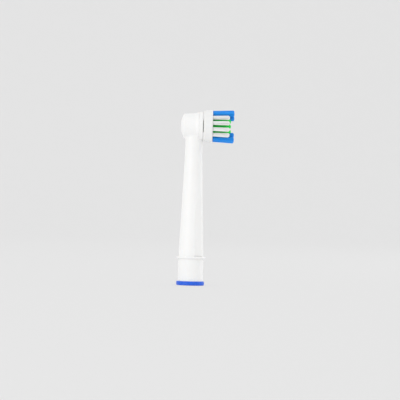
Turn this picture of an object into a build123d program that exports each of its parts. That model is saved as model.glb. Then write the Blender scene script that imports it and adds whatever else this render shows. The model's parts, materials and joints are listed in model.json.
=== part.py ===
from build123d import *
import os
from math import asin, atan, cos, degrees, radians, sin, sqrt, tan

# Replacement brush head of an oscillating electric toothbrush, in millimetres
# Z is the drive axis and rises from the foot, X is the axis of the bristle disc

# Fits between the pieces, each a gap on one side
press_gap = 0.02  # pieces pressed together
running_gap = 0.05  # shafts in their bearings
fork_gap = 0.1  # crank in the fork of the disc
free_gap = 0.3  # moving pieces past fixed walls

# Sleeve that takes the neck of the handle, everything at the foot follows its bore
handle_bore_radius = 4.5
sleeve_wall = 0.65
sleeve_top = 12.2
sleeve_web = 1.2
sleeve_flange_reach = 0.45
sleeve_flange_height = 0.6
key_width = 1.2
key_depth = 0.3

# Foot, collar and lip, as steps outward from one another
collar_wall = 0.63
collar_draft = 0.05
ring_step = 0.6
ring_height = 1.9
ring_edge = 0.3
lip_height = 12.3
lip_thickness = 0.9
lip_reach = 0.95
lip_edge = 0.3

# Tapered neck
neck_step = 0.05
neck_waist_radius = 4.1
neck_waist_drop = 14.8  # waist below the axis of the head
neck_head_step = 0.2
neck_waist_bend = 90.0

# Two shallow flats on the front of the lower neck, cut off on a slant at the top, undercut at the lip
flat_angle = 52.0
flat_depth = 0.34
flat_reach = 2.2
flat_side_top = 35.0
flat_front_top = 44.0
undercut_depth = 0.25
undercut_height = 0.45

# Head cup, measured along X from the drive axis: domed back, flared wall, groove and rim band
head_height = 73.3
cup_back = 6.33
dome_radius = 10.8
cup_back_radius = 5.5
cup_back_edge = 0.6
cup_taper = 4.3
cup_wall = 1.0
cup_back_wall = 1.9
junction_radius = 1.6
flare_back = 0.0
flare_front = 1.7
flare_rise = 0.45
groove_width = 0.5
groove_depth = 0.25
rim_front = 4.0
rim_width = 1.5
rim_radius = 6.6
rim_edge = 0.25

# Drive socket and its clip
chamber_radius = 4.3
nose_radius = 3.0
thrust_radius = 3.7
thrust_height = 1.0
socket_radius = 3.3
socket_height = 15.0
stem_radius = 2.2
stem_length = 6.0
shaft_radius = 2.0
shaft_round_length = 6.0
shaft_flat_length = 8.0
shaft_flat = 1.4
shaft_relief = 0.35
clip_thickness = 0.3
clip_seat = 0.35  # how far each edge of the clip sits in the wall of the socket

# Drive rod and the bush that steadies it
rod_radius = 0.8
rod_lean = 7.7
crank_corner = 3.25
crank_tip = 2.15
lean_bend = 3.0
crank_bend = 1.1
rod_room = 3.2
bush_height = 3.5
bush_drop = 14.3  # top of the bush below the axis of the head
bush_step = 0.2
bush_slit = 1.3

# Bristle disc, its hub and the two steel pins that carry it
disc_thickness = 4.1
disc_back_radius = 7.1
disc_front_radius = 7.6
disc_edge = 0.3
hub_radius = 2.3
fork_radius = 2.9
fork_back = 1.0
fork_floor = 1.4
pivot_radius = 0.9
pivot_seat = 1.5
pivot_reach = 0.5
retainer_radius = 0.5
retainer_back = 3.1
retainer_side = 2.2
retainer_depth = 4.9
retainer_recess = 0.1

# Tufts: distance of each ring from the axis of the disc, and sizes for each colour
outer_ring = 6.15
middle_ring = 3.85
inner_ring = 1.45
outer_count = 14
middle_count = 10
inner_count = 4
tip_share = 0.85  # tufts this far towards the tip or the neck are blue
splay = 1.7
tuft_radii = {"blue": 1.05, "green": 0.92, "white": 0.98, "core": 0.8}
tuft_lengths = {"blue": 9.9, "green": 8.4, "white": 7.9, "core": 7.7}
tuft_depth = 2.6
anchor_thickness = 0.25
anchor_height = 1.2

# Values that follow from the sizes above
lip_top = lip_height + lip_thickness
sleeve_radius = handle_bore_radius + sleeve_wall
sleeve_seat_radius = sleeve_radius + press_gap
sleeve_flange_radius = sleeve_radius + sleeve_flange_reach
collar_top_radius = sleeve_seat_radius + collar_wall
collar_foot_radius = collar_top_radius + collar_draft
ring_radius = collar_foot_radius + ring_step
lip_radius = collar_top_radius + lip_reach
neck_base_radius = collar_top_radius - neck_step
neck_waist_height = head_height - neck_waist_drop
neck_head_radius = neck_waist_radius - neck_head_step
bore_length = sleeve_top - sleeve_web
socket_foot = bore_length + running_gap
thrust_foot = sleeve_top + fork_gap
socket_top = socket_foot + socket_height
stem_top = socket_top + stem_length
clip_foot = socket_foot + shaft_round_length
clip_width = 2 * (sqrt((shaft_radius + shaft_relief) ** 2 - shaft_flat**2) + clip_seat)
bush_seat_radius = rod_room + bush_step
bush_rise = head_height - bush_drop
bush_foot = bush_rise - bush_height
cavity_back = cup_back_wall - cup_back
hub_back = cavity_back + free_gap
disc_back = rim_front + free_gap
disc_face = disc_back + disc_thickness
pivot_end = disc_back + pivot_reach
groove_half_width = retainer_radius + fork_gap
groove_radius = retainer_side - retainer_radius - fork_gap
fork_half_width = rod_radius + fork_gap
dome_angle = asin(cup_back_radius / dome_radius)
dome_front = cup_back - dome_radius * (1 - cos(dome_angle))
band_back = rim_front - rim_width
groove_back = band_back - groove_width
neck_taper = atan((neck_base_radius - neck_waist_radius) / (neck_waist_height - lip_top))

# Profiles turned about the disc are drawn on the head plane, with the disc's axis along its X
head_plane = Plane(origin=(0, 0, head_height), x_dir=(1, 0, 0), z_dir=(0, -1, 0))
disc_axis = Axis((0, 0, head_height), (1, 0, 0))

os.makedirs("parts", exist_ok=True)


def save(piece, name):
    piece.part.label = name
    export_step(piece.part, f"parts/{name}.step")


def across_plane(distance):
    # Stands square to the disc's axis, with its own X along Y and its own Y upwards
    return Plane(origin=(distance, 0, head_height), x_dir=(0, 1, 0), z_dir=(1, 0, 0))


def cup_radius(distance):
    return cup_back_radius + (distance + dome_front) * tan(radians(cup_taper))


def flat_plane(side):
    # Lies on one flat of the neck, starts at the lip and leans in with the taper
    level = Vector(cos(radians(flat_angle)), side * sin(radians(flat_angle)), 0)
    outward = level * cos(neck_taper) + Vector(0, 0, sin(neck_taper))
    start = level * (neck_base_radius - flat_depth) + Vector(0, 0, lip_top)
    return Plane(origin=start, x_dir=Vector(0, 0, 1).cross(level), z_dir=outward)


def tuft_ring(radius, count, first_angle, side_colour, end_colour):
    # Angles run from Y towards Z, so the ends of the disc are where their sine is largest
    places = []
    for index in range(count):
        angle = radians(first_angle + index * 360 / count)
        at_end = abs(sin(angle)) > tip_share
        places.append((radius, angle, end_colour if at_end else side_colour))
    return places


def tuft_plane(radius, angle):
    # Lies in the face of the disc at one tuft, leaning outwards more towards the edge
    lean = radians(splay * radius / outer_ring)
    spot = (disc_face, radius * cos(angle), head_height + radius * sin(angle))
    along = (cos(lean), sin(lean) * cos(angle), sin(lean) * sin(angle))
    return Plane(origin=spot, x_dir=(0, -sin(angle), cos(angle)), z_dir=along)


outer_tufts = tuft_ring(outer_ring, outer_count, 180 / outer_count, "white", "blue")
middle_tufts = tuft_ring(middle_ring, middle_count, 0, "green", "blue")
inner_tufts = tuft_ring(inner_ring, inner_count, 180 / inner_count, "core", "core")
tufts = outer_tufts + middle_tufts + inner_tufts

# Neck housing: collar, neck and head cup in one hollow moulding
with BuildPart() as neck_housing:
    with BuildSketch(Plane.XZ) as neck_profile:
        with BuildLine():
            Polyline(
                (0, ring_height),
                (collar_foot_radius, ring_height),
                (collar_top_radius, lip_height),
                (neck_base_radius, lip_top),
                (neck_waist_radius, neck_waist_height),
                (neck_head_radius, head_height),
                (0, head_height),
                close=True,
            )
        make_face()
        waist = neck_profile.vertices().sort_by_distance((neck_waist_radius, neck_waist_height))[0]
        fillet(waist, neck_waist_bend)
    revolve(axis=Axis.Z)

    with BuildSketch(head_plane) as cup_profile:
        with BuildLine():
            dome = CenterArc((dome_radius - cup_back, 0), dome_radius, 180, -degrees(dome_angle))
            Polyline(
                dome @ 1,
                (band_back, cup_radius(band_back)),
                (band_back, 0),
                dome @ 0,
            )
        make_face()
        back_corner = cup_profile.vertices().sort_by_distance((-dome_front, cup_back_radius))[0]
        fillet(back_corner, cup_back_edge)
    revolve(axis=disc_axis)
    junction = neck_housing.edges().filter_by(GeomType.BSPLINE).group_by(Axis.X)[:-1]
    fillet(sum(junction, ShapeList()), junction_radius)

    # Flare that runs out to a groove, and the rim band round the open end of the cup
    with BuildSketch(head_plane) as band_profile:
        with BuildLine():
            Polyline(
                (flare_back, 0),
                (flare_back, cup_radius(flare_back) - groove_depth),
                (flare_front, cup_radius(flare_front) + flare_rise),
                (groove_back, cup_radius(flare_front) + flare_rise),
                (groove_back + groove_width / 2, rim_radius - groove_depth - groove_depth / 2),
                (band_back, rim_radius),
                (rim_front, rim_radius),
                (rim_front, 0),
                close=True,
            )
        make_face()
        chamfer(band_profile.vertices().sort_by_distance((rim_front, rim_radius))[0], rim_edge)
    revolve(axis=disc_axis)

    for side in (1, -1):
        with BuildSketch(flat_plane(side)):
            with BuildLine():
                Polyline(
                    (-side * flat_reach, 0),
                    (side * flat_reach, 0),
                    (side * flat_reach, flat_side_top - lip_top),
                    (-side * flat_reach, flat_front_top - lip_top),
                    close=True,
                )
            make_face()
        extrude(amount=flat_reach, mode=Mode.SUBTRACT)
    with BuildSketch(Plane.XY.offset(lip_top)):
        with PolarLocations(neck_base_radius - flat_depth, 2, -flat_angle, 2 * flat_angle, endpoint=True):
            Rectangle(2 * undercut_depth, 2 * flat_reach)
    extrude(amount=undercut_height, mode=Mode.SUBTRACT)

    with BuildSketch(Plane.XY.offset(lip_height)):
        Circle(lip_radius)
    extrude(amount=lip_thickness)
    lip_rings = neck_housing.edges(Select.LAST).filter_by(GeomType.CIRCLE).sort_by(SortBy.RADIUS)[-2:]
    chamfer(lip_rings, lip_edge)

    # Hollow for the sleeve, the drive and the bush, drawn as the core that leaves it
    with BuildSketch(Plane.XZ):
        with BuildLine():
            Polyline(
                (0, ring_height),
                (sleeve_seat_radius, ring_height),
                (sleeve_seat_radius, sleeve_top),
                (chamber_radius, sleeve_top),
                (bush_seat_radius, bush_foot),
                (bush_seat_radius, bush_rise),
                (rod_room, bush_rise),
                (rod_room, head_height),
                (0, head_height),
                close=True,
            )
        make_face()
    revolve(axis=Axis.Z, mode=Mode.SUBTRACT)

    # Hollow of the cup, open towards the disc
    with BuildSketch(head_plane):
        with BuildLine():
            Polyline(
                (cavity_back, 0),
                (cavity_back, cup_radius(cavity_back) - cup_wall),
                (rim_front, rim_radius - cup_wall),
                (rim_front, 0),
                close=True,
            )
        make_face()
    revolve(axis=disc_axis, mode=Mode.SUBTRACT)

    with BuildSketch(across_plane(cavity_back)):
        Circle(pivot_radius + press_gap)
    extrude(amount=-pivot_seat, mode=Mode.SUBTRACT)

    with BuildSketch(Plane.XY.offset(head_height - retainer_depth)):
        with Locations((-retainer_back, retainer_side)):
            Circle(retainer_radius + press_gap)
    extrude(amount=retainer_depth + rim_radius, mode=Mode.SUBTRACT)
save(neck_housing, "neck_housing")

# Base insert: sleeve for the neck of the handle, with a web that carries the socket
with BuildPart() as base_insert:
    with BuildSketch(Plane.XZ):
        with BuildLine():
            Polyline(
                (handle_bore_radius, 0),
                (sleeve_flange_radius, 0),
                (sleeve_flange_radius, sleeve_flange_height),
                (sleeve_radius, sleeve_flange_height),
                (sleeve_radius, sleeve_top),
                (nose_radius + running_gap, sleeve_top),
                (nose_radius + running_gap, bore_length),
                (handle_bore_radius, bore_length),
                close=True,
            )
        make_face()
    revolve(axis=Axis.Z)
    with BuildSketch():
        Rectangle(key_width, 2 * (handle_bore_radius + key_depth))
    extrude(amount=bore_length, mode=Mode.SUBTRACT)
save(base_insert, "base_insert")

# Colour ring: held between the collar and the flange of the sleeve
with BuildPart() as colour_ring:
    with BuildSketch(Plane.XZ) as ring_profile:
        with BuildLine():
            Polyline(
                (sleeve_flange_radius + press_gap, 0),
                (ring_radius, 0),
                (ring_radius, ring_height),
                (sleeve_seat_radius, ring_height),
                (sleeve_seat_radius, sleeve_flange_height),
                (sleeve_flange_radius + press_gap, sleeve_flange_height),
                close=True,
            )
        make_face()
        chamfer(ring_profile.vertices().group_by(Axis.X)[-1], ring_edge)
    revolve(axis=Axis.Z)
save(colour_ring, "colour_ring")

# Guide bush: slit so that it snaps over the rod
with BuildPart() as guide_bush:
    with BuildSketch(Plane.XY.offset(bush_foot)):
        Circle(bush_seat_radius - press_gap)
        Circle(rod_radius + running_gap, mode=Mode.SUBTRACT)
        with Locations((-bush_seat_radius / 2, 0)):
            Rectangle(bush_seat_radius, bush_slit, mode=Mode.SUBTRACT)
    extrude(amount=bush_height)
save(guide_bush, "guide_bush")

# Pivot pin: pressed into the back of the cup, the disc turns on it
with BuildPart() as pivot_pin:
    with BuildSketch(across_plane(cavity_back - pivot_seat)):
        Circle(pivot_radius)
    extrude(amount=pivot_end - cavity_back + pivot_seat - free_gap)
save(pivot_pin, "pivot_pin")

# Retaining pin: pressed in beside the hub at the tip, it stands in the groove of the hub
with BuildPart() as retaining_pin:
    outer_side = retainer_side + retainer_radius
    retainer_top = sqrt(cup_radius(-retainer_back) ** 2 - outer_side**2) - retainer_recess
    with BuildSketch(Plane.XY.offset(head_height - retainer_depth)):
        with Locations((-retainer_back, retainer_side)):
            Circle(retainer_radius)
    extrude(amount=retainer_depth + retainer_top)
save(retaining_pin, "retaining_pin")

# Drive socket: round lead-in for the shaft of the handle, then a flat made by the clip
with BuildPart() as drive_socket:
    with BuildSketch(Plane.XZ):
        with BuildLine():
            Polyline(
                (0, socket_foot),
                (nose_radius, socket_foot),
                (nose_radius, thrust_foot),
                (thrust_radius, thrust_foot),
                (thrust_radius, thrust_foot + thrust_height),
                (socket_radius, thrust_foot + thrust_height),
                (socket_radius, socket_top),
                (stem_radius, socket_top + socket_radius - stem_radius),
                (stem_radius, stem_top),
                (0, stem_top),
                close=True,
            )
        make_face()
    revolve(axis=Axis.Z)
    with BuildSketch(Plane.XY.offset(socket_foot)):
        Circle(shaft_radius)
    extrude(amount=shaft_round_length, mode=Mode.SUBTRACT)
    with BuildSketch(Plane.XY.offset(clip_foot)):
        Circle(shaft_radius + shaft_relief)
    extrude(amount=shaft_flat_length, mode=Mode.SUBTRACT)
    with BuildSketch(Plane.XY.offset(clip_foot)):
        with Locations((shaft_flat + clip_thickness / 2, 0)):
            Rectangle(clip_thickness + 2 * press_gap, clip_width + 2 * press_gap)
    extrude(amount=shaft_flat_length, mode=Mode.SUBTRACT)
    with BuildSketch(Plane.XY.offset(socket_top)):
        Circle(rod_radius + press_gap)
    extrude(amount=stem_length, mode=Mode.SUBTRACT)
save(drive_socket, "drive_socket")

# Shaft clip: steel leaf across the socket, bears on the flat of the shaft
with BuildPart() as shaft_clip:
    with BuildSketch(Plane.XY.offset(clip_foot)):
        with Locations((shaft_flat + clip_thickness / 2, 0)):
            Rectangle(clip_thickness, clip_width)
    extrude(amount=shaft_flat_length)
save(shaft_clip, "shaft_clip")

# Drive rod: leans out below the disc, then its end points at the crossing of the two axes
with BuildPart() as drive_rod:
    with BuildLine(Plane.XZ) as rod_route:
        FilletPolyline(
            (0, socket_top),
            (0, head_height - rod_lean),
            (crank_corner, head_height - crank_corner),
            (crank_tip, head_height - crank_tip),
            radius=[lean_bend, crank_bend],
        )
    with BuildSketch(Plane.XY.offset(socket_top)):
        Circle(rod_radius)
    sweep(path=rod_route.line)
save(drive_rod, "drive_rod")

# Bristle disc: plate with tuft holes, fork for the crank and grooved hub on the pivot pin
with BuildPart() as bristle_disc:
    with BuildSketch(head_plane) as disc_profile:
        with BuildLine():
            Polyline(
                (hub_back, 0),
                (hub_back, hub_radius),
                (-retainer_back - groove_half_width, hub_radius),
                (-retainer_back - groove_half_width, groove_radius),
                (-retainer_back + groove_half_width, groove_radius),
                (-retainer_back + groove_half_width, hub_radius),
                (fork_back, hub_radius),
                (fork_back, fork_radius),
                (disc_back, fork_radius),
                (disc_back, disc_back_radius),
                (disc_face, disc_front_radius),
                (disc_face, 0),
                close=True,
            )
        make_face()
        rim_corners = disc_profile.vertices().sort_by(Axis.Y)[-2:]
        chamfer(rim_corners, disc_edge)
    revolve(axis=disc_axis)
    with BuildSketch(across_plane(hub_back)):
        Circle(pivot_radius + running_gap)
    extrude(amount=pivot_end - hub_back, mode=Mode.SUBTRACT)
    with BuildSketch(across_plane(fork_back)):
        with Locations((0, -(fork_floor + fork_radius) / 2 - free_gap)):
            Rectangle(2 * fork_half_width, fork_radius - fork_floor + 2 * free_gap)
    extrude(amount=disc_back - fork_back, mode=Mode.SUBTRACT)
    for radius, angle, colour in tufts:
        with BuildSketch(tuft_plane(radius, angle).offset(-tuft_depth)):
            Circle(tuft_radii[colour] + press_gap)
        extrude(amount=tuft_depth + free_gap, mode=Mode.SUBTRACT)
save(bristle_disc, "bristle_disc")

# Tufts: one bundle for each hole, folded over its anchor at the foot
for number, (radius, angle, colour) in enumerate(tufts, 1):
    root_plane = tuft_plane(radius, angle).offset(-tuft_depth)
    with BuildPart() as tuft:
        with BuildSketch(root_plane):
            Circle(tuft_radii[colour])
        extrude(amount=tuft_depth + tuft_lengths[colour])
        with BuildSketch(root_plane):
            Rectangle(2 * tuft_radii[colour], anchor_thickness + 2 * press_gap)
        extrude(amount=anchor_height + press_gap, mode=Mode.SUBTRACT)
    save(tuft, f"{colour}_tuft_{number:02d}")

# Tuft anchors: one small blade across the foot of each tuft
with BuildPart() as tuft_anchors:
    for radius, angle, colour in tufts:
        with BuildSketch(tuft_plane(radius, angle).offset(-tuft_depth)):
            Rectangle(2 * tuft_radii[colour] - anchor_thickness, anchor_thickness)
        extrude(amount=anchor_height)
save(tuft_anchors, "tuft_anchors")
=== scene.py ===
import json
import math
import random
import bpy
from mathutils import Matrix, Vector


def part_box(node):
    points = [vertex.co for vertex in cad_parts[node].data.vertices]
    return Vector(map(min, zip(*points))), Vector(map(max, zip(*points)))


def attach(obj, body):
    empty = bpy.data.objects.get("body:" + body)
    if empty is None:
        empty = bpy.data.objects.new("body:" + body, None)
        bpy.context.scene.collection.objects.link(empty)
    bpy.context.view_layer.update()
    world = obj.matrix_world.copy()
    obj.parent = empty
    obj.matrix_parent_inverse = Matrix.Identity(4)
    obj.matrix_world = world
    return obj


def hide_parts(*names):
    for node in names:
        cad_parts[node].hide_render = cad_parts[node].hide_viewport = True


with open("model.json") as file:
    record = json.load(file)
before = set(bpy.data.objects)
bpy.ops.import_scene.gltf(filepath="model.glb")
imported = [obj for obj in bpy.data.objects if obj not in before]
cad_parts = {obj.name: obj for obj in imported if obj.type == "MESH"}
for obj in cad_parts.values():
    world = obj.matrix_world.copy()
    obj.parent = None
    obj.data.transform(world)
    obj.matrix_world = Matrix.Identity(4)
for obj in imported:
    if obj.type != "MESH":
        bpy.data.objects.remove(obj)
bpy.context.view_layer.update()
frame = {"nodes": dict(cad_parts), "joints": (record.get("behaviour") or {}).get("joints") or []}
nodes = frame["nodes"]
discTurn = next(joint for joint in frame["joints"] if joint["name"] == "disc_turn")
headHeight = discTurn["pos_m"][2]
print("loaded", len(nodes), "CAD nodes, head axis at", headHeight)

bpy.context.scene.view_settings.view_transform = "Standard"


def hexToLinear(code):
    parts = [int(code[i:i + 2], 16) / 255 for i in (1, 3, 5)]
    return tuple(c / 12.92 if c <= 0.04045 else ((c + 0.055) / 1.055) ** 2.4 for c in parts) + (1.0,)


def addNode(tree, kind, inputs=None, **settings):  # inputs: socket name or number -> value or another socket
    node = tree.nodes.new(kind)
    for name, value in settings.items():
        setattr(node, name, value)
    for socket, source in (inputs or {}).items():
        if isinstance(source, bpy.types.NodeSocket):
            tree.links.new(source, node.inputs[socket])
        else:
            node.inputs[socket].default_value = source
    return node


def newMaterial(name):
    material = bpy.data.materials.new(name)
    material.use_nodes = True
    material.node_tree.nodes.clear()
    return material, material.node_tree


def finishMaterial(tree, shader):
    addNode(tree, "ShaderNodeOutputMaterial", {"Surface": shader.outputs[0]})


def perMetre(millimetres):  # texture scale for a pattern that repeats every so many millimetres
    return 1000 / millimetres


noiseLow, noiseHigh = 0.3, 0.7  # nearly all of a noise texture lies between these

# Injection-moulded plastic: an even body colour with faint clouding where the melt flowed,
# a fine even grain that softens the gloss, and a little light in thin walls
moulded = {"glossSpread": 0.04, "grainDepth": 0.00002, "glowDepth": 0.0006, "glowTint": (1.0, 0.9, 0.8)}


def mouldedPlastic(name, look):
    material, tree = newMaterial(name)
    place = addNode(tree, "ShaderNodeTexCoord").outputs["Object"]
    clouds = addNode(tree, "ShaderNodeTexNoise", {
        "Vector": place, "Scale": perMetre(look["cloudMm"]), "Detail": 2.0})
    grain = addNode(tree, "ShaderNodeTexNoise", {
        "Vector": place, "Scale": perMetre(look["grainMm"]), "Detail": 3.0})
    tint = addNode(tree, "ShaderNodeMix", {
        "Factor": clouds.outputs["Fac"], 6: hexToLinear(look["thin"]), 7: hexToLinear(look["body"])},
        data_type="RGBA")
    gloss = addNode(tree, "ShaderNodeMapRange", {
        "Value": clouds.outputs["Fac"], "From Min": noiseLow, "From Max": noiseHigh,
        "To Min": look["roughness"] - moulded["glossSpread"],
        "To Max": look["roughness"] + moulded["glossSpread"]})
    relief = addNode(tree, "ShaderNodeBump", {
        "Height": grain.outputs["Fac"], "Strength": look["grain"], "Distance": moulded["grainDepth"]})
    shader = addNode(tree, "ShaderNodeBsdfPrincipled", {
        "Base Color": tint.outputs[2], "Roughness": gloss.outputs["Result"],
        "Normal": relief.outputs["Normal"], "IOR": look["ior"], "Subsurface Weight": look["glow"],
        "Subsurface Scale": moulded["glowDepth"], "Subsurface Radius": moulded["glowTint"]})
    finishMaterial(tree, shader)
    return material


# Drawn steel and rolled brass: bright metal with fine lines, stretched along Z as the rod lies
drawn = {"smoother": 0.06, "duller": 0.08, "lineStrength": 0.15, "lineDepth": 0.00001}


def drawnMetal(name, look):
    material, tree = newMaterial(name)
    place = addNode(tree, "ShaderNodeTexCoord").outputs["Object"]
    stretched = addNode(tree, "ShaderNodeMapping", {"Vector": place, "Scale": (1.0, 1.0, look["stretch"])})
    lines = addNode(tree, "ShaderNodeTexNoise", {
        "Vector": stretched.outputs[0], "Scale": perMetre(look["lineMm"]), "Detail": 2.0})
    tint = addNode(tree, "ShaderNodeMix", {
        "Factor": lines.outputs["Fac"], 6: hexToLinear(look["dark"]), 7: hexToLinear(look["bright"])},
        data_type="RGBA")
    gloss = addNode(tree, "ShaderNodeMapRange", {
        "Value": lines.outputs["Fac"], "From Min": noiseLow, "From Max": noiseHigh,
        "To Min": look["roughness"] - drawn["smoother"], "To Max": look["roughness"] + drawn["duller"]})
    relief = addNode(tree, "ShaderNodeBump", {
        "Height": lines.outputs["Fac"], "Strength": drawn["lineStrength"], "Distance": drawn["lineDepth"]})
    shader = addNode(tree, "ShaderNodeBsdfPrincipled", {
        "Base Color": tint.outputs[2], "Roughness": gloss.outputs["Result"],
        "Normal": relief.outputs["Normal"], "Metallic": 1.0})
    finishMaterial(tree, shader)
    return material


# Nylon monofilament: smooth extruded threads, each a slightly different depth of dye,
# going over towards the rounded tip to a painted tip shade that stands in for light passing through the thin
# ends
nylon = {"ior": 1.53, "smoothest": 0.28, "dullest": 0.4, "tipFrom": 0.75}


def nylonFilament(name, dyeAndPaintedTip):
    material, tree = newMaterial(name)
    tone = addNode(tree, "ShaderNodeAttribute", attribute_name="filamentTone").outputs["Fac"]
    rise = addNode(tree, "ShaderNodeAttribute", attribute_name="filamentRise").outputs["Fac"]
    depth = addNode(tree, "ShaderNodeMix", {
        "Factor": tone, 6: hexToLinear(dyeAndPaintedTip["deep"]), 7: hexToLinear(dyeAndPaintedTip["light"])}, data_type="RGBA")
    # painted light: towards the tip the dye goes over to a tip shade for light passing through the thin ends
    paintedTipBlend = addNode(tree, "ShaderNodeMapRange", {
        "Value": rise, "From Min": nylon["tipFrom"], "From Max": 1.0,
        "To Min": 0.0, "To Max": dyeAndPaintedTip["paintedTipShare"]})
    tint = addNode(tree, "ShaderNodeMix", {
        "Factor": paintedTipBlend.outputs["Result"], 6: depth.outputs[2], 7: hexToLinear(dyeAndPaintedTip["tip"])},
        data_type="RGBA")
    gloss = addNode(tree, "ShaderNodeMapRange", {
        "Value": tone, "To Min": nylon["smoothest"], "To Max": nylon["dullest"]})
    shader = addNode(tree, "ShaderNodeBsdfPrincipled", {
        "Base Color": tint.outputs[2], "Roughness": gloss.outputs["Result"], "IOR": nylon["ior"]})
    finishMaterial(tree, shader)
    return material


# Finishes of the moulded and metal pieces, grain drawn coarser than real so that it shows
housingLook = {"body": "#F7F7F6", "thin": "#F3F3F2", "cloudMm": 7.0, "grainMm": 0.5, "grain": 0.12,
               "roughness": 0.33, "ior": 1.49, "glow": 0.12}
discLook = {"body": "#F1F1F0", "thin": "#ECECEB", "cloudMm": 5.0, "grainMm": 0.4, "grain": 0.18,
            "roughness": 0.4, "ior": 1.49, "glow": 0.12}
ringLook = {"body": "#1E66E4", "thin": "#185EDC", "cloudMm": 4.0, "grainMm": 0.5, "grain": 0.1,
            "roughness": 0.28, "ior": 1.49, "glow": 0.05}
acetalLook = {"body": "#ECEAE4", "thin": "#E4E2DB", "cloudMm": 5.0, "grainMm": 0.4, "grain": 0.1,
              "roughness": 0.36, "ior": 1.48, "glow": 0.2}
steelLook = {"bright": "#CDCED0", "dark": "#A9ABAE", "lineMm": 0.12, "stretch": 0.04, "roughness": 0.26}
brassLook = {"bright": "#D9B65E", "dark": "#B08B3C", "lineMm": 0.15, "stretch": 0.3, "roughness": 0.32}

finishes = {
    "neck_housing": mouldedPlastic("moulded white polypropylene", housingLook),
    "bristle_disc": mouldedPlastic("moulded satin white polypropylene", discLook),
    "colour_ring": mouldedPlastic("moulded blue polypropylene", ringLook),
    "drive_socket": mouldedPlastic("moulded natural acetal", acetalLook),
    "drive_rod": drawnMetal("drawn stainless steel", steelLook),
    "tuft_anchors": drawnMetal("rolled brass", brassLook),
}
finishes["base_insert"] = finishes["neck_housing"]
finishes["guide_bush"] = finishes["drive_socket"]
for pieceName in ("pivot_pin", "retaining_pin", "shaft_clip"):
    finishes[pieceName] = finishes["drive_rod"]
for nodeName, finish in finishes.items():
    nodes[nodeName].material_slots[0].material = finish
print("finishes on", len(finishes), "CAD nodes")


# Shape of every filament and bundle, with the end and the inset in filament radii
bundleShape = {"sides": 6, "segments": 4, "endHeight": 0.9, "endWidth": 0.55, "ringFit": 0.92, "inset": 1.9,
               "stray": 0.013, "crownPower": 4.0}
packedRoot = {"sides": 24, "below": 0.00006, "depth": 0.0005}  # metres under the face of the disc
goldenAngle = math.pi * (3 - math.sqrt(5))


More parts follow.
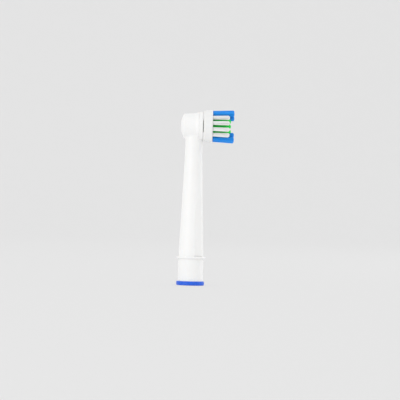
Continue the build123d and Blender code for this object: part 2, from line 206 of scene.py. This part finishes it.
# Tufts of filaments: a closed ring of threads round a sunflower spiral, copied to every hole of a colour
def filamentTree():
    tree = bpy.data.node_groups.new("filamentTufts", "GeometryNodeTree")
    tree.interface.new_socket("Geometry", in_out="INPUT", socket_type="NodeSocketGeometry")
    for name in ("Filaments", "Seed"):
        tree.interface.new_socket(name, in_out="INPUT", socket_type="NodeSocketInt")
    for name in ("Filament radius", "Bundle radius", "Length", "Root radius", "Root depth", "Flare", "Bend",
                 "Unevenness", "Crown"):
        tree.interface.new_socket(name, in_out="INPUT", socket_type="NodeSocketFloat")
    tree.interface.new_socket("Finish", in_out="INPUT", socket_type="NodeSocketMaterial")
    tree.interface.new_socket("Geometry", in_out="OUTPUT", socket_type="NodeSocketGeometry")
    size = addNode(tree, "NodeGroupInput").outputs

    # one filament: a six-sided thread with a rounded end, standing on its root and bowed a little
    full = addNode(tree, "ShaderNodeMath", {0: size["Length"], 1: size["Root depth"]}, operation="ADD")
    endHeight = addNode(tree, "ShaderNodeMath", {
        0: size["Filament radius"], 1: bundleShape["endHeight"]}, operation="MULTIPLY")
    shank = addNode(tree, "ShaderNodeMath", {
        0: full.outputs[0], 1: endHeight.outputs[0]}, operation="SUBTRACT")
    thread = addNode(tree, "GeometryNodeMeshCylinder", {
        "Vertices": bundleShape["sides"], "Side Segments": bundleShape["segments"],
        "Radius": size["Filament radius"], "Depth": shank.outputs[0]}, fill_type="NGON")
    drawnOut = addNode(tree, "GeometryNodeExtrudeMesh", {
        "Mesh": thread.outputs["Mesh"], "Selection": thread.outputs["Top"],
        "Offset Scale": endHeight.outputs[0], "Individual": False})
    rounded = addNode(tree, "GeometryNodeScaleElements", {
        "Geometry": drawnOut.outputs["Mesh"], "Selection": drawnOut.outputs["Top"],
        "Scale": bundleShape["endWidth"]})
    halfShank = addNode(tree, "ShaderNodeMath", {0: shank.outputs[0], 1: 0.5}, operation="MULTIPLY")
    lift = addNode(tree, "ShaderNodeCombineXYZ", {"Z": halfShank.outputs[0]})
    standing = addNode(tree, "GeometryNodeTransform", {0: rounded.outputs[0], "Translation": lift.outputs[0]})
    spot = addNode(tree, "GeometryNodeInputPosition")
    spotXyz = addNode(tree, "ShaderNodeSeparateXYZ", {0: spot.outputs[0]})
    rise = addNode(tree, "ShaderNodeMath", {0: spotXyz.outputs["Z"], 1: full.outputs[0]}, operation="DIVIDE")
    riseSquared = addNode(tree, "ShaderNodeMath", {0: rise.outputs[0], 1: 2.0}, operation="POWER")
    bow = addNode(tree, "ShaderNodeMath", {0: riseSquared.outputs[0], 1: size["Bend"]}, operation="MULTIPLY")
    bowOffset = addNode(tree, "ShaderNodeCombineXYZ", {"X": bow.outputs[0]})
    bowed = addNode(tree, "GeometryNodeSetPosition", {0: standing.outputs[0], "Offset": bowOffset.outputs[0]})
    filament = addNode(tree, "GeometryNodeStoreNamedAttribute", {
        "Geometry": bowed.outputs[0], "Name": "filamentRise", "Value": rise.outputs[0]},
        data_type="FLOAT", domain="POINT")

    # the seats of one bundle: a closed ring around the edge first, then a sunflower spiral inside it
    index = addNode(tree, "GeometryNodeInputIndex")
    radiusRatio = addNode(tree, "ShaderNodeMath", {
        0: size["Bundle radius"], 1: size["Filament radius"]}, operation="DIVIDE")
    fitted = addNode(tree, "ShaderNodeMath", {
        0: radiusRatio.outputs[0], 1: math.pi * bundleShape["ringFit"]}, operation="MULTIPLY")
    ringCount = addNode(tree, "ShaderNodeMath", {0: fitted.outputs[0]}, operation="FLOOR")
    onRing = addNode(tree, "ShaderNodeMath", {
        0: index.outputs[0], 1: ringCount.outputs[0]}, operation="LESS_THAN")
    ringStep = addNode(tree, "ShaderNodeMath", {0: 2 * math.pi, 1: ringCount.outputs[0]}, operation="DIVIDE")
    ringAngle = addNode(tree, "ShaderNodeMath", {
        0: index.outputs[0], 1: ringStep.outputs[0]}, operation="MULTIPLY")
    spiralAngle = addNode(tree, "ShaderNodeMath", {0: index.outputs[0], 1: goldenAngle}, operation="MULTIPLY")
    turn = addNode(tree, "ShaderNodeMix", {
        0: onRing.outputs[0], 2: spiralAngle.outputs[0], 3: ringAngle.outputs[0]}, data_type="FLOAT")
    spiralIndex = addNode(tree, "ShaderNodeMath", {
        0: index.outputs[0], 1: ringCount.outputs[0]}, operation="SUBTRACT")
    spiralPlace = addNode(tree, "ShaderNodeMath", {0: spiralIndex.outputs[0], 1: 0.5}, operation="ADD")
    spiralCount = addNode(tree, "ShaderNodeMath", {
        0: size["Filaments"], 1: ringCount.outputs[0]}, operation="SUBTRACT")
    spiralShare = addNode(tree, "ShaderNodeMath", {
        0: spiralPlace.outputs[0], 1: spiralCount.outputs[0]}, operation="DIVIDE")
    evenSpread = addNode(tree, "ShaderNodeMath", {0: spiralShare.outputs[0]}, operation="SQRT")
    inside = addNode(tree, "ShaderNodeMath", {
        0: size["Filament radius"], 1: -bundleShape["inset"], 2: size["Bundle radius"]},
        operation="MULTIPLY_ADD")
    spiralReach = addNode(tree, "ShaderNodeMath", {
        0: evenSpread.outputs[0], 1: inside.outputs[0]}, operation="MULTIPLY")
    reach = addNode(tree, "ShaderNodeMix", {
        0: onRing.outputs[0], 2: spiralReach.outputs[0], 3: size["Bundle radius"]}, data_type="FLOAT")
    sunk = addNode(tree, "ShaderNodeMath", {0: size["Root depth"], 1: -1.0}, operation="MULTIPLY")
    outAndDown = addNode(tree, "ShaderNodeCombineXYZ", {"X": reach.outputs[0], "Z": sunk.outputs[0]})
    seat = addNode(tree, "ShaderNodeVectorRotate", {
        "Vector": outAndDown.outputs[0], "Angle": turn.outputs[0]}, rotation_type="Z_AXIS")
    seats = addNode(tree, "GeometryNodePoints", {"Count": size["Filaments"], "Position": seat.outputs[0]})

    # each filament leans out from the middle, bows its own way and is trimmed to a crown
    stray = addNode(tree, "FunctionNodeRandomValue", {
        0: (-bundleShape["stray"], -bundleShape["stray"], 1.0),
        1: (bundleShape["stray"], bundleShape["stray"], 1.0), "Seed": size["Seed"]}, data_type="FLOAT_VECTOR")
    flareShare = addNode(tree, "ShaderNodeMath", {
        0: size["Flare"], 1: size["Bundle radius"]}, operation="DIVIDE")
    flareXy = addNode(tree, "ShaderNodeCombineXYZ", {"X": flareShare.outputs[0], "Y": flareShare.outputs[0]})
    leaning = addNode(tree, "ShaderNodeVectorMath", {
        0: seat.outputs[0], 1: flareXy.outputs[0], 2: stray.outputs[0]}, operation="MULTIPLY_ADD")
    bowSeed = addNode(tree, "ShaderNodeMath", {0: size["Seed"], 1: 1.0}, operation="ADD")
    bowTurn = addNode(tree, "FunctionNodeRandomValue", {
        0: (0.0, 0.0, 0.0), 1: (0.0, 0.0, 2 * math.pi), "Seed": bowSeed.outputs[0]}, data_type="FLOAT_VECTOR")
    bowWay = addNode(tree, "FunctionNodeEulerToRotation", {0: bowTurn.outputs[0]})
    stance = addNode(tree, "FunctionNodeAlignRotationToVector", {
        "Rotation": bowWay.outputs[0], "Vector": leaning.outputs[0]}, axis="Z")
    cutSeed = addNode(tree, "ShaderNodeMath", {0: size["Seed"], 1: 2.0}, operation="ADD")
    cut = addNode(tree, "FunctionNodeRandomValue", {
        2: 0.0, 3: size["Unevenness"], "Seed": cutSeed.outputs[0]}, data_type="FLOAT")
    outShare = addNode(tree, "ShaderNodeMath", {
        0: reach.outputs[0], 1: size["Bundle radius"]}, operation="DIVIDE")
    rimShare = addNode(tree, "ShaderNodeMath", {
        0: outShare.outputs[0], 1: bundleShape["crownPower"]}, operation="POWER")
    cutAndCrown = addNode(tree, "ShaderNodeMath", {
        0: rimShare.outputs[0], 1: size["Crown"], 2: cut.outputs[1]}, operation="MULTIPLY_ADD")
    trimmed = addNode(tree, "ShaderNodeMath", {0: 1.0, 1: cutAndCrown.outputs[0]}, operation="SUBTRACT")
    trim = addNode(tree, "ShaderNodeCombineXYZ", {"X": 1.0, "Y": 1.0, "Z": trimmed.outputs[0]})
    threads = addNode(tree, "GeometryNodeInstanceOnPoints", {
        "Points": seats.outputs[0], "Instance": filament.outputs[0], "Rotation": stance.outputs[0],
        "Scale": trim.outputs[0]})
    toneSeed = addNode(tree, "ShaderNodeMath", {0: size["Seed"], 1: 3.0}, operation="ADD")
    tone = addNode(tree, "FunctionNodeRandomValue", {
        2: 0.0, 3: 1.0, "Seed": toneSeed.outputs[0]}, data_type="FLOAT")
    toned = addNode(tree, "GeometryNodeStoreNamedAttribute", {
        "Geometry": threads.outputs[0], "Name": "filamentTone", "Value": tone.outputs[1]},
        data_type="FLOAT", domain="INSTANCE")
    bundle = addNode(tree, "GeometryNodeRealizeInstances", {0: toned.outputs[0]})

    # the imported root, which fills the mouth of the hole just under the face
    root = addNode(tree, "GeometryNodeMeshCylinder", {
        "Vertices": packedRoot["sides"], "Radius": size["Root radius"], "Depth": packedRoot["depth"]},
        fill_type="NGON")
    rootMiddle = -packedRoot["below"] - packedRoot["depth"] / 2
    sunkRoot = addNode(tree, "GeometryNodeTransform", {
        0: root.outputs["Mesh"], "Translation": (0.0, 0.0, rootMiddle)})
    rooted = addNode(tree, "GeometryNodeJoinGeometry", {0: bundle.outputs[0]})
    tree.links.new(sunkRoot.outputs[0], rooted.inputs[0])

    # a bundle in every hole, turned so that no two look alike
    axis = addNode(tree, "GeometryNodeInputNamedAttribute", {"Name": "tuftAxis"}, data_type="FLOAT_VECTOR")
    twist = addNode(tree, "GeometryNodeInputNamedAttribute", {"Name": "tuftTwist"}, data_type="FLOAT")
    twistXyz = addNode(tree, "ShaderNodeCombineXYZ", {"Z": twist.outputs[0]})
    twisted = addNode(tree, "FunctionNodeEulerToRotation", {0: twistXyz.outputs[0]})
    upright = addNode(tree, "FunctionNodeAlignRotationToVector", {
        "Rotation": twisted.outputs[0], "Vector": axis.outputs[0]}, axis="Z")
    tufts = addNode(tree, "GeometryNodeInstanceOnPoints", {
        "Points": size["Geometry"], "Instance": rooted.outputs[0], "Rotation": upright.outputs[0]})
    whole = addNode(tree, "GeometryNodeRealizeInstances", {0: tufts.outputs[0]})
    smooth = addNode(tree, "GeometryNodeSetShadeSmooth", {0: whole.outputs[0]})
    coloured = addNode(tree, "GeometryNodeSetMaterial", {0: smooth.outputs[0], "Material": size["Finish"]})
    addNode(tree, "NodeGroupOutput", {0: coloured.outputs[0]})
    return tree


tuftTree = filamentTree()
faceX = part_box("bristle_disc")[1][0]  # front face of the disc
filamentSize = {"radius": 0.00011, "rootDepth": 0.00135, "bend": 0.00006}  # metres, the same in every colour
# deep and light are the dye; tip is a painted shade for light passing through the thin filament ends
whiteDyeAndPaintedTip = {"deep": "#F8FAF8", "light": "#FDFEFD", "tip": "#FCFDFC", "paintedTipShare": 0.5}

# An entry for each colour: room is in metres, kept free inside the CAD tuft, round it and at the tip,
# and unevenness and crown are shares of the length that the cut takes off
bristles = {
    # each dye's tip colour is painted light, standing in for light passing through the thin ends
    "blue": {"slot": "blue_bristle", "filaments": 56, "room": 0.00006, "flare": 0.011,
             "unevenness": 0.01, "crown": 0.03, "seed": 3,
             "dyeAndPaintedTip": {"deep": "#0890FA", "light": "#1AB0FF", "tip": "#0E9CFA", "paintedTipShare": 0.35}},
    "green": {"slot": "green_bristle", "filaments": 44, "room": 0.00006, "flare": 0.012,
              "unevenness": 0.015, "crown": 0.045, "seed": 11,
              "dyeAndPaintedTip": {"deep": "#18E448", "light": "#2CFC5C", "tip": "#38F066", "paintedTipShare": 0.35}},
    "white": {"slot": "white_bristle", "filaments": 46, "room": 0.00012, "flare": 0.012,
              "unevenness": 0.015, "crown": 0.045, "seed": 19, "dyeAndPaintedTip": whiteDyeAndPaintedTip},
    "core": {"slot": "white_bristle", "filaments": 34, "room": 0.00006, "flare": 0.01,
             "unevenness": 0.015, "crown": 0.045, "seed": 27, "dyeAndPaintedTip": whiteDyeAndPaintedTip},
}
outerTuft = {"leanDegrees": 1.7, "offAxis": 0.00615}  # tufts lean more the further they stand off the axis
splay = math.radians(outerTuft["leanDegrees"]) / outerTuft["offAxis"]


def tuftSpots(names):  # where each tuft leaves the face, and which way it points
    spots, axes = [], []
    for name in names:
        low, high = (Vector(corner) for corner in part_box(name))
        middle = (low + high) / 2
        out = Vector((0, middle.y, middle.z - headHeight))
        lean = splay * out.length
        axis = Vector((math.cos(lean), 0, 0)) + out.normalized() * math.sin(lean)
        spots.append(middle - axis * ((middle.x - faceX) / axis.x))
        axes.append(axis)
    return spots, axes


def bristlePiece(colour, sizes):
    names = sorted(name for name in nodes if name.startswith(colour + "_tuft"))
    spots, axes = tuftSpots(names)
    low, high = (Vector(corner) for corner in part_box(names[0]))
    length = max(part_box(name)[1][0] for name in names) - faceX - sizes["room"]
    radius = (high.y - low.y) / 2 - abs(axes[0].y) * (high.x - low.x) / 2  # the box also holds the lean
    mesh = bpy.data.meshes.new(colour + "Spots")
    mesh.from_pydata(spots, [], [])
    axisData = mesh.attributes.new("tuftAxis", "FLOAT_VECTOR", "POINT").data
    axisData.foreach_set("vector", [part for axis in axes for part in axis])
    chance = random.Random(sizes["seed"])
    twistData = mesh.attributes.new("tuftTwist", "FLOAT", "POINT").data
    twistData.foreach_set("value", [chance.uniform(0, 2 * math.pi) for _ in spots])
    piece = bpy.data.objects.new(colour + "Bristles", mesh)
    bpy.context.scene.collection.objects.link(piece)
    modifier = piece.modifiers.new("tufts", "NODES")
    modifier.node_group = tuftTree
    values = {
        "Filaments": sizes["filaments"], "Filament radius": filamentSize["radius"],
        "Bundle radius": radius - filamentSize["radius"] - sizes["room"], "Length": length,
        "Root radius": radius, "Root depth": filamentSize["rootDepth"], "Flare": sizes["flare"],
        "Bend": filamentSize["bend"], "Unevenness": sizes["unevenness"], "Crown": sizes["crown"],
        "Seed": sizes["seed"], "Finish": nylonFilament(colour + " nylon filament", sizes["dyeAndPaintedTip"]),
    }
    for socket in tuftTree.interface.items_tree:
        if socket.in_out == "INPUT" and socket.name in values:
            modifier[socket.identifier] = values[socket.name]
    made = bpy.data.meshes.new_from_object(piece.evaluated_get(bpy.context.evaluated_depsgraph_get()))
    piece.modifiers.clear()
    piece.data = made
    bpy.data.meshes.remove(mesh)
    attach(piece, "disc")
    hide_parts(*names)
    print(colour, len(names), "tufts, bundle radius", round(radius * 1000, 3), "mm, length",
          round(length * 1000, 2), "mm,", len(made.polygons), "faces")


for colour, sizes in bristles.items():
    bristlePiece(colour, sizes)


# Camera: level with the middle of the head, square to its side, rolled as the photograph is
view = {"distance": 1.2, "frameWidth": 0.184, "aimX": 0.0035, "aimZ": 0.0393, "roll": 1.62, "sensorMm": 36.0}
camera = bpy.data.objects.new("photoCamera", bpy.data.cameras.new("photoCamera"))
bpy.context.scene.collection.objects.link(camera)
camera.data.sensor_width = view["sensorMm"]
camera.data.lens = view["sensorMm"] * view["distance"] / view["frameWidth"]
standPoint = Matrix.Translation((view["aimX"], -view["distance"], view["aimZ"]))
level = Matrix.Rotation(math.radians(90), 4, "X")
camera.matrix_world = standPoint @ level @ Matrix.Rotation(math.radians(view["roll"]), 4, "Z")
bpy.context.scene.camera = camera
print("camera lens", round(camera.data.lens, 1))


# Stage: a round pale floor that sweeps up into a wall on every side, a hair under the foot
stage = {"rings": (0.02, 0.2, 0.6), "flat": 1.5, "sweep": 0.5, "sweepSteps": 12, "wall": 0.1, "around": 96,
         "drop": 0.00005, "paper": "#F6F6F6", "seen": "#E0E0E0", "lit": 0.25}
profile = [(radius, 0.0) for radius in stage["rings"] + (stage["flat"],)]
for step in range(1, stage["sweepSteps"] + 1):
    angle = math.radians(90 * step / stage["sweepSteps"])
    profile.append((stage["flat"] + stage["sweep"] * math.sin(angle), stage["sweep"] * (1 - math.cos(angle))))
profile.append((profile[-1][0], profile[-1][1] + stage["wall"]))
points, faces = [(0.0, 0.0, 0.0)], []
for radius, height in profile:
    for k in range(stage["around"]):
        angle = 2 * math.pi * k / stage["around"]
        points.append((radius * math.cos(angle), radius * math.sin(angle), height))
for k in range(stage["around"]):
    after = (k + 1) % stage["around"]
    faces.append((0, 1 + k, 1 + after))
    for row in range(len(profile) - 1):
        inner, outer = 1 + row * stage["around"], 1 + (row + 1) * stage["around"]
        faces.append((inner + k, outer + k, outer + after, inner + after))
floorMesh = bpy.data.meshes.new("sweptFloor")
floorMesh.from_pydata(points, [], faces)
floorMesh.shade_smooth()
floor = bpy.data.objects.new("sweptFloor", floorMesh)
floor.location.z = -stage["drop"]
bpy.context.scene.collection.objects.link(floor)

# Matt paper: looked at, it is mostly an even pale grey and still takes a soft shadow
paper, paperTree = newMaterial("matt grey paper")
matt = addNode(paperTree, "ShaderNodeBsdfDiffuse", {"Color": hexToLinear(stage["paper"])})
even = addNode(paperTree, "ShaderNodeEmission", {"Color": hexToLinear(stage["seen"]), "Strength": 1.0})
ray = addNode(paperTree, "ShaderNodeLightPath").outputs
seenOrMirrored = addNode(paperTree, "ShaderNodeMath", {
    0: ray["Is Camera Ray"], 1: ray["Is Glossy Ray"]}, operation="MAXIMUM")
seenAnyWay = addNode(paperTree, "ShaderNodeMath", {
    0: seenOrMirrored.outputs[0], 1: ray["Is Transmission Ray"]}, operation="MAXIMUM")
evenShare = addNode(paperTree, "ShaderNodeMath", {
    0: seenAnyWay.outputs[0], 1: 1 - stage["lit"]}, operation="MULTIPLY")
finishMaterial(paperTree, addNode(paperTree, "ShaderNodeMixShader", {
    0: evenShare.outputs[0], 1: matt.outputs[0], 2: even.outputs[0]}))
floorMesh.materials.append(paper)

# Light: a soft box from the left front, a smaller one from the right and behind, and an even surround
lamps = {
    "keyBox": {"at": (-0.75, -0.9, 0.3), "size": 0.8, "watts": 2.8},
    "sideBox": {"at": (0.92, 0.6, 0.42), "size": 0.6, "watts": 2.5},
}
lampAim = Vector((0.004, 0.0, 0.045))  # the middle of the neck
surround = {"strength": 0.92}
for name, lamp in lamps.items():
    data = bpy.data.lights.new(name, "AREA")
    data.shape = "SQUARE"
    data.size = lamp["size"]
    data.energy = lamp["watts"]
    light = bpy.data.objects.new(name, data)
    aim = (lampAim - Vector(lamp["at"])).to_track_quat("-Z", "Y").to_matrix().to_4x4()
    light.matrix_world = Matrix.Translation(lamp["at"]) @ aim
    bpy.context.scene.collection.objects.link(light)

world = bpy.data.worlds.new("surround")
bpy.context.scene.world = world
world.use_nodes = True
world.node_tree.nodes.clear()
sky = addNode(world.node_tree, "ShaderNodeBackground", {
    "Color": (1.0, 1.0, 1.0, 1.0), "Strength": surround["strength"]})
addNode(world.node_tree, "ShaderNodeOutputWorld", {"Surface": sky.outputs[0]})
print("stage and light set")
